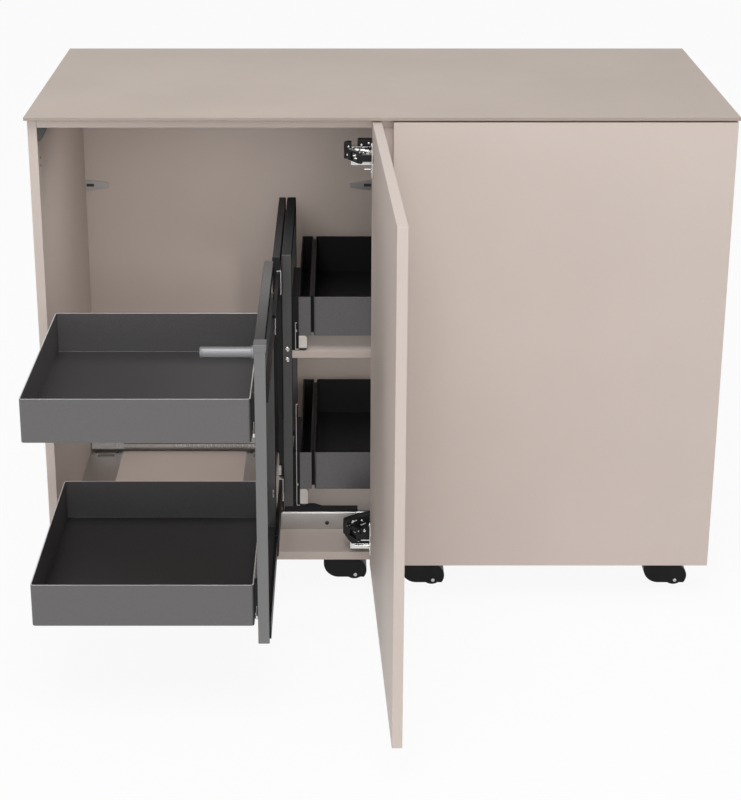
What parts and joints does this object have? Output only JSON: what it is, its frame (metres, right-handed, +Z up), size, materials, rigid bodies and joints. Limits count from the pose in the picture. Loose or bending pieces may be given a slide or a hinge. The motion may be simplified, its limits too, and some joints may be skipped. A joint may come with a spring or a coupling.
{
  "type": "outdoor kitchen corner cabinet",
  "caption": "Blind corner cabinet on casters with a hinged door, a pull-out front unit of trays and rear trays that slide sideways on rails.",
  "frame": {"origin": "on the floor, under the middle of the space the cabinet takes with its door and front unit open as stored", "axes": "+X to the right along the front, +Y to the back, +Z up"},
  "size_m": [1.2, 1.1814, 0.906],
  "materials": {
    "panel": "matt lacquered board, warm greige",
    "worktop": "matt compact laminate",
    "tray": "fine textured anthracite powder coat",
    "frame": "anthracite powder coat",
    "steel": "zinc-plated steel",
    "chrome": "nickel-plated",
    "handle": "satin",
    "glide": "moulded",
    "catch": "moulded",
    "caster_steel": "black zinc",
    "caster_plastic": "moulded, satin",
    "wheel": "moulded, satin"
  },
  "bodies": {
    "cabinet": {"back_join_strip": "panel", "back_panel_left": "panel", "back_panel_right": "panel", "back_rail": "steel", "back_ties": "steel", "blind_front_panel": "panel", "bottom_board": "panel", "carrier_frame": "frame", "caster_mounts": "caster_steel", "centre_stile": "panel", "door_catch": "catch", "front_rail": "steel", "hinge_arms": "chrome", "left_side": "panel", "outer_slides": "frame", "right_side": "panel", "tie_plate_left": "steel", "tie_plate_middle": "steel", "tie_plate_right": "steel", "top_board": "panel", "worktop": "worktop"},
    "door": {"door": "panel", "hinge_cups": "chrome"},
    "front_unit": {"front_frame": "frame", "front_tray_upper": "tray", "front_tray_lower": "tray", "front_tray_brackets": "frame", "pull_handle": "handle", "handle_cap": "handle", "inner_slides": "steel"},
    "slide_middle": {"middle_slides": "steel"},
    "rear_unit": {"rear_glides_lower": "glide", "rear_glides_upper": "glide", "rear_hanger_lower": "tray", "rear_hanger_upper": "tray", "rear_runners": "frame", "rear_shelf": "panel", "rear_side_left": "frame", "rear_side_right": "frame", "rear_tray_lower": "tray", "rear_tray_upper": "tray", "shelf_screws": "steel"},
    "caster_1": {"caster_hood_1": "caster_plastic"},
    "wheels_1": {"caster_wheels_1": "wheel"},
    "caster_2": {"caster_hood_2": "caster_plastic"},
    "wheels_2": {"caster_wheels_2": "wheel"},
    "caster_3": {"caster_hood_3": "caster_plastic"},
    "wheels_3": {"caster_wheels_3": "wheel"},
    "caster_4": {"caster_hood_4": "caster_plastic"},
    "wheels_4": {"caster_wheels_4": "wheel"},
    "caster_5": {"caster_hood_5": "caster_plastic"},
    "wheels_5": {"caster_wheels_5": "wheel"},
    "caster_6": {"caster_hood_6": "caster_plastic"},
    "wheels_6": {"caster_wheels_6": "wheel"},
    "caster_7": {"caster_hood_7": "caster_plastic"},
    "wheels_7": {"caster_wheels_7": "wheel"},
    "caster_8": {"caster_hood_8": "caster_plastic"},
    "wheels_8": {"caster_wheels_8": "wheel"}
  },
  "joints": [
    {"name": "door_hinge", "type": "hinge", "parent": "cabinet", "child": "door", "pos_m": [0.004, 0.01066, 0.48], "axis": [0, 0, 1], "range_deg": [-20, 13]},
    {"name": "front_slide", "type": "slide", "parent": "cabinet", "child": "front_unit", "axis": [0, 1, 0], "range_m": [0, 0.46]},
    {"name": "slide_middle", "type": "slide", "parent": "cabinet", "child": "slide_middle", "axis": [0, 1, 0], "range_m": [0, 0.23]},
    {"name": "rear_slide", "type": "slide", "parent": "cabinet", "child": "rear_unit", "axis": [1, 0, 0], "range_m": [0, 0.24]},
    {"name": "caster_swivel_1", "type": "hinge", "parent": "cabinet", "child": "caster_1", "pos_m": [-0.53, 0.09866, 0.05], "axis": [0, 0, 1], "continuous": true},
    {"name": "wheel_spin_1", "type": "hinge", "parent": "caster_1", "child": "wheels_1", "pos_m": [-0.51, 0.09866, 0.02], "axis": [0, 1, 0], "continuous": true},
    {"name": "caster_swivel_2", "type": "hinge", "parent": "cabinet", "child": "caster_2", "pos_m": [-0.064, 0.12066, 0.05], "axis": [0, 0, 1], "continuous": true},
    {"name": "wheel_spin_2", "type": "hinge", "parent": "caster_2", "child": "wheels_2", "pos_m": [-0.044, 0.12066, 0.02], "axis": [0, 1, 0], "continuous": true},
    {"name": "caster_swivel_3", "type": "hinge", "parent": "cabinet", "child": "caster_3", "pos_m": [0.08, 0.09866, 0.05], "axis": [0, 0, 1], "continuous": true},
    {"name": "wheel_spin_3", "type": "hinge", "parent": "caster_3", "child": "wheels_3", "pos_m": [0.1, 0.09866, 0.02], "axis": [0, 1, 0], "continuous": true},
    {"name": "caster_swivel_4", "type": "hinge", "parent": "cabinet", "child": "caster_4", "pos_m": [0.53, 0.09866, 0.05], "axis": [0, 0, 1], "continuous": true},
    {"name": "wheel_spin_4", "type": "hinge", "parent": "caster_4", "child": "wheels_4", "pos_m": [0.55, 0.09866, 0.02], "axis": [0, 1, 0], "continuous": true},
    {"name": "caster_swivel_5", "type": "hinge", "parent": "cabinet", "child": "caster_5", "pos_m": [-0.53, 0.52266, 0.05], "axis": [0, 0, 1], "continuous": true},
    {"name": "wheel_spin_5", "type": "hinge", "parent": "caster_5", "child": "wheels_5", "pos_m": [-0.51, 0.52266, 0.02], "axis": [0, 1, 0], "continuous": true},
    {"name": "caster_swivel_6", "type": "hinge", "parent": "cabinet", "child": "caster_6", "pos_m": [-0.064, 0.52266, 0.05], "axis": [0, 0, 1], "continuous": true},
    {"name": "wheel_spin_6", "type": "hinge", "parent": "caster_6", "child": "wheels_6", "pos_m": [-0.044, 0.52266, 0.02], "axis": [0, 1, 0], "continuous": true},
    {"name": "caster_swivel_7", "type": "hinge", "parent": "cabinet", "child": "caster_7", "pos_m": [0.08, 0.52266, 0.05], "axis": [0, 0, 1], "continuous": true},
    {"name": "wheel_spin_7", "type": "hinge", "parent": "caster_7", "child": "wheels_7", "pos_m": [0.1, 0.52266, 0.02], "axis": [0, 1, 0], "continuous": true},
    {"name": "caster_swivel_8", "type": "hinge", "parent": "cabinet", "child": "caster_8", "pos_m": [0.53, 0.52266, 0.05], "axis": [0, 0, 1], "continuous": true},
    {"name": "wheel_spin_8", "type": "hinge", "parent": "caster_8", "child": "wheels_8", "pos_m": [0.55, 0.52266, 0.02], "axis": [0, 1, 0], "continuous": true}
  ],
  "couplings": [
    {"joint": "slide_middle", "follows": "front_slide", "ratio": 0.5},
    {"joint": "rear_slide", "follows": "front_slide", "ratio": 0.52}
  ]
}
